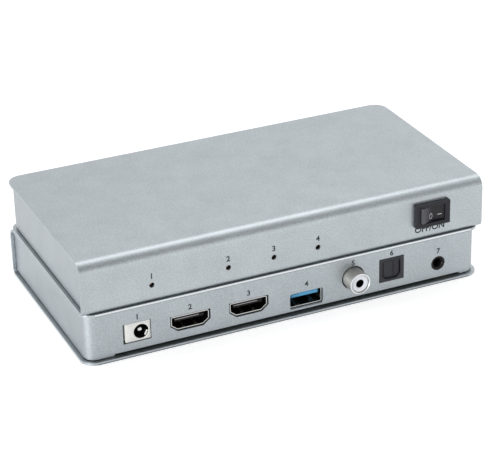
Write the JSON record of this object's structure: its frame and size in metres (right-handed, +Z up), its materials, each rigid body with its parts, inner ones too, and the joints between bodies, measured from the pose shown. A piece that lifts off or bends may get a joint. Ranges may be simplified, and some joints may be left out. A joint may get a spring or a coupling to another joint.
{
  "type": "video capture box",
  "caption": "Flat silver video capture units stacked back to back, so that one shows its sockets and the other its lights and rocker switch.",
  "frame": {"origin": "centre of the lower unit's base, on the surface it stands on", "axes": "+X along the long side, to the right when the lower unit's sockets face the viewer, +Y away from the viewer, +Z up"},
  "size_m": [0.16, 0.091, 0.0404],
  "materials": {
    "aluminium_shell": "sand-blasted and anodised",
    "aluminium_frame": "sand-blasted and anodised",
    "board_laminate": "green solder mask",
    "brass_posts": "turned",
    "steel_screws": "nickel plated",
    "white_moulding": "moulded",
    "nickel_contacts": "nickel plated",
    "nickel_shell": "stamped and nickel plated",
    "black_moulding": "moulded",
    "blue_moulding": "moulded",
    "nickel_barrel": "turned and plated",
    "white_insulator": "moulded",
    "gold_contact": "gold flashed",
    "dark_moulding": "moulded",
    "black_nylon": "moulded, fine grain",
    "clear_lens": "clear moulding",
    "chip_epoxy": "moulded epoxy",
    "heat_sink_aluminium": "extruded and anodised",
    "aluminium_cans": "drawn cans",
    "coil_ferrite": "pressed ferrite",
    "red_wire": "extruded insulation"
  },
  "bodies": {
    "lower_unit": {"lower_shell": "aluminium_shell", "lower_port_frame": "aluminium_frame", "lower_main_board": "board_laminate", "lower_standoffs": "brass_posts", "lower_board_screws": "steel_screws", "lower_base_screws": "steel_screws", "lower_dc_body": "white_moulding", "lower_dc_contacts": "nickel_contacts", "lower_video_in_shell": "nickel_shell", "lower_video_in_tongue": "black_moulding", "lower_video_out_shell": "nickel_shell", "lower_video_out_tongue": "black_moulding", "lower_data_shell": "nickel_shell", "lower_data_tongue": "blue_moulding", "lower_coax_body": "black_moulding", "lower_coax_barrel": "nickel_barrel", "lower_coax_insulator": "white_insulator", "lower_coax_contact": "gold_contact", "lower_optical_body": "dark_moulding", "lower_audio_jack": "black_moulding", "lower_switch_housing": "black_nylon", "lower_switch_terminals": "nickel_contacts", "lower_lights": "clear_lens", "lower_chips": "chip_epoxy", "lower_heat_sink": "heat_sink_aluminium", "lower_capacitors": "aluminium_cans", "lower_coils": "coil_ferrite", "lower_switch_wires": "red_wire"},
    "lower_rocker": {"lower_switch_rocker": "black_nylon"},
    "lower_door": {"lower_optical_door": "dark_moulding"},
    "upper_unit": {"upper_shell": "aluminium_shell", "upper_port_frame": "aluminium_frame", "upper_main_board": "board_laminate", "upper_standoffs": "brass_posts", "upper_board_screws": "steel_screws", "upper_base_screws": "steel_screws", "upper_dc_body": "white_moulding", "upper_dc_contacts": "nickel_contacts", "upper_video_in_shell": "nickel_shell", "upper_video_in_tongue": "black_moulding", "upper_video_out_shell": "nickel_shell", "upper_video_out_tongue": "black_moulding", "upper_data_shell": "nickel_shell", "upper_data_tongue": "blue_moulding", "upper_coax_body": "black_moulding", "upper_coax_barrel": "nickel_barrel", "upper_coax_insulator": "white_insulator", "upper_coax_contact": "gold_contact", "upper_optical_body": "dark_moulding", "upper_audio_jack": "black_moulding", "upper_switch_housing": "black_nylon", "upper_switch_terminals": "nickel_contacts", "upper_lights": "clear_lens", "upper_chips": "chip_epoxy", "upper_heat_sink": "heat_sink_aluminium", "upper_capacitors": "aluminium_cans", "upper_coils": "coil_ferrite", "upper_switch_wires": "red_wire"},
    "upper_rocker": {"upper_switch_rocker": "black_nylon"},
    "upper_door": {"upper_optical_door": "dark_moulding"}
  },
  "joints": [
    {"name": "upper_lift", "type": "slide", "parent": "lower_unit", "child": "upper_unit", "axis": [0, 0, 1], "range_m": [0, 0.04]},
    {"name": "lower_rocker_tilt", "type": "hinge", "parent": "lower_unit", "child": "lower_rocker", "pos_m": [-0.0581, 0.0413, 0.0105], "axis": [0, 0, -1], "range_deg": [0, 18]},
    {"name": "lower_door_swing", "type": "hinge", "parent": "lower_unit", "child": "lower_door", "pos_m": [0.04256, -0.03865, 0.0134], "axis": [1, 0, 0], "range_deg": [0, 80], "stiffness_Nm_per_rad": 0.0001, "springref_deg": -17.19},
    {"name": "upper_rocker_tilt", "type": "hinge", "parent": "upper_unit", "child": "upper_rocker", "pos_m": [0.0581, -0.0413, 0.0307], "axis": [0, 0, -1], "range_deg": [0, 18]},
    {"name": "upper_door_swing", "type": "hinge", "parent": "upper_unit", "child": "upper_door", "pos_m": [-0.04256, 0.03865, 0.0336], "axis": [-1, 0, 0], "range_deg": [0, 80], "stiffness_Nm_per_rad": 0.0001, "springref_deg": -17.19}
  ]
}
